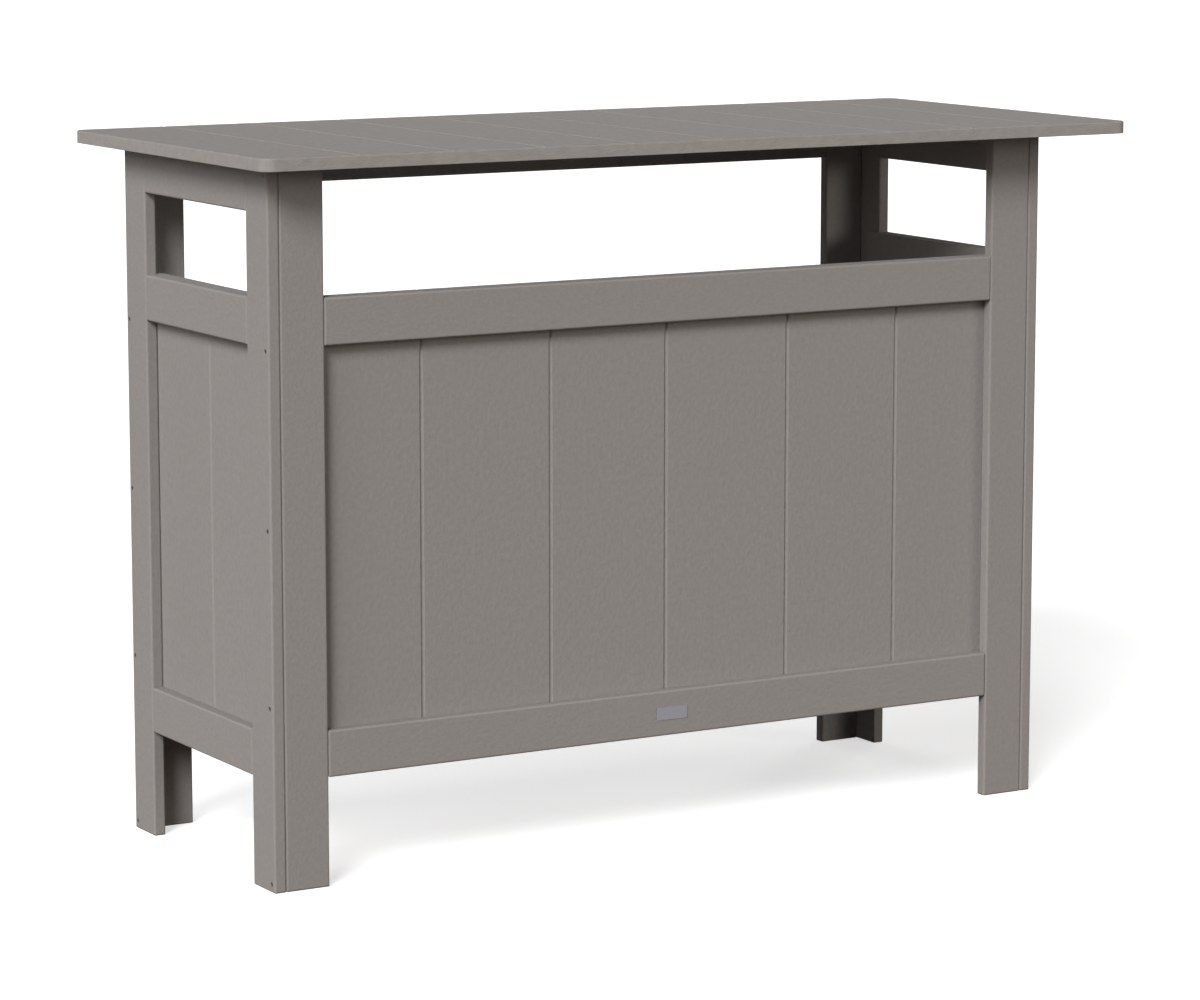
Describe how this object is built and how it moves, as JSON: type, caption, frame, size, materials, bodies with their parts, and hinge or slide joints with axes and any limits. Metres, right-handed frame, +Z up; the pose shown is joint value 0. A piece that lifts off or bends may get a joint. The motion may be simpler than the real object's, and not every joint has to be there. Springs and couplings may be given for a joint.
{
  "type": "outdoor bar",
  "caption": "Free-standing outdoor bar of screwed plastic boards: grooved front and side panels, open serving gap and side windows, overhanging top and open-backed shelves.",
  "frame": {"origin": "on the ground, under the centre of the top's footprint", "axes": "+Z up, +X along the bar towards the longer overhang, -Y towards the panelled front"},
  "size_m": [1.491, 0.653, 1.067],
  "materials": {
    "board_plastic": "matte taupe-grey, finely stippled, moulded through",
    "panel_plastic": "matte taupe-grey, finely stippled, moulded through",
    "screw_steel": "stainless steel with a dull dark coating",
    "plate_metal": "satin, blank"
  },
  "bodies": {
    "root": {"top": "board_plastic", "front_left_leg_side": "board_plastic", "front_left_leg_face": "board_plastic", "front_right_leg_side": "board_plastic", "front_right_leg_face": "board_plastic", "rear_left_leg_side": "board_plastic", "rear_left_leg_face": "board_plastic", "rear_right_leg_side": "board_plastic", "rear_right_leg_face": "board_plastic", "left_top_rail": "board_plastic", "left_middle_rail": "board_plastic", "left_low_rail": "board_plastic", "right_top_rail": "board_plastic", "right_middle_rail": "board_plastic", "right_low_rail": "board_plastic", "front_middle_rail": "board_plastic", "front_low_rail": "board_plastic", "rear_top_rail": "board_plastic", "rear_low_rail": "board_plastic", "front_panel_1": "panel_plastic", "front_panel_2": "panel_plastic", "front_panel_3": "panel_plastic", "front_panel_4": "panel_plastic", "left_panel": "panel_plastic", "right_panel": "panel_plastic", "bottom_shelf": "board_plastic", "middle_shelf": "board_plastic", "middle_shelf_apron": "board_plastic", "left_top_cleat": "board_plastic", "right_top_cleat": "board_plastic", "rear_top_cleat": "board_plastic", "top_stiffener": "board_plastic", "left_bottom_cleat": "board_plastic", "right_bottom_cleat": "board_plastic", "front_bottom_cleat": "board_plastic", "rear_bottom_cleat": "board_plastic", "left_middle_cleat": "board_plastic", "right_middle_cleat": "board_plastic", "front_middle_cleat": "board_plastic", "leg_screws": "screw_steel", "panel_screws": "screw_steel", "cleat_screws": "screw_steel", "top_screws": "screw_steel", "shelf_screws": "screw_steel", "blank_plate": "plate_metal"}
  },
  "joints": []
}
